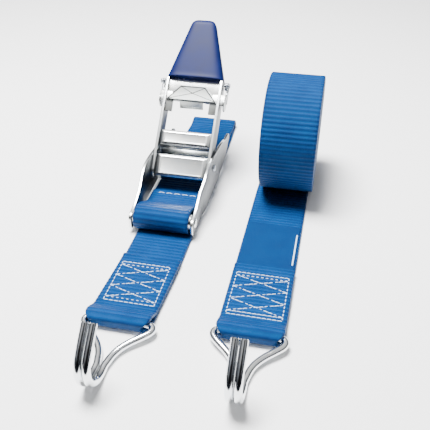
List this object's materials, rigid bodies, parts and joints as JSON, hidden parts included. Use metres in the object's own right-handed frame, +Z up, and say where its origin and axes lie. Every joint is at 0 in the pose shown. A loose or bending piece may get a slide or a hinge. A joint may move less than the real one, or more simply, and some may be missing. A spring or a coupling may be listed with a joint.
{
  "type": "overcentre buckle tie down",
  "caption": "Cargo strap in 50 mm blue webbing: a lever buckle with a lock slide on a short hooked strap, and a rolled long strap with a double wire hook.",
  "frame": {"origin": "under the middle of the whole set, on the surface it lies on", "axes": "+Z up, +Y along the straps from the hooks to the grip, +X from the buckle to the rolled strap"},
  "size_m": [0.1604, 0.4056, 0.1365],
  "materials": {
    "zinc_plate": "bright zinc plate, pressed sheet",
    "dark_steel": "plain steel pins and springs",
    "hook_wire": "polished zinc-plated round wire",
    "grip_vinyl": "navy dipped vinyl, satin",
    "blue_webbing": "woven polyester webbing with cross ribs",
    "label_cloth": "smooth woven label, blank"
  },
  "bodies": {
    "buckle_base": {"base_plate_left": "zinc_plate", "base_plate_right": "zinc_plate", "front_bar": "zinc_plate", "pivot_axle": "dark_steel", "short_strap_lower": "blue_webbing", "short_strap_fold": "blue_webbing", "short_strap_upper": "blue_webbing"},
    "lever": {"lever_frame": "zinc_plate", "lower_bar": "zinc_plate", "upper_bar": "zinc_plate", "webbing_guide": "zinc_plate", "grip": "grip_vinyl", "spring_pin_left": "dark_steel", "spring_pin_right": "dark_steel", "slide_spring_left": "dark_steel", "slide_spring_right": "dark_steel"},
    "lock_slide": {"lock_slide": "zinc_plate"},
    "short_hook": {"hook_short": "hook_wire"},
    "long_strap": {"long_strap_lead": "blue_webbing", "long_strap_roll": "blue_webbing", "care_label": "label_cloth"},
    "long_hook": {"hook_long": "hook_wire"}
  },
  "joints": [
    {"name": "lever_pivot", "type": "hinge", "parent": "buckle_base", "child": "lever", "pos_m": [-0.0453, 0.0563, 0.0281], "axis": [1, 0, 0], "range_deg": [-48, 72]},
    {"name": "lock_slide_travel", "type": "slide", "parent": "lever", "child": "lock_slide", "axis": [0, 0.7071, 0.7071], "range_m": [0, 0.006], "stiffness_N_per_m": 200, "springref_m": -0.01},
    {"name": "short_hook_swing", "type": "hinge", "parent": "buckle_base", "child": "short_hook", "pos_m": [-0.0438, -0.1347, 0.0058], "axis": [-1, 0, 0], "range_deg": [0, 100]},
    {"name": "long_strap_lift", "type": "slide", "parent": "buckle_base", "child": "long_strap", "axis": [0, 0, 1], "range_m": [0, 0.15]},
    {"name": "long_hook_swing", "type": "hinge", "parent": "long_strap", "child": "long_hook", "pos_m": [0.0512, -0.1282, 0.0058], "axis": [-1, 0, 0], "range_deg": [0, 100]}
  ]
}
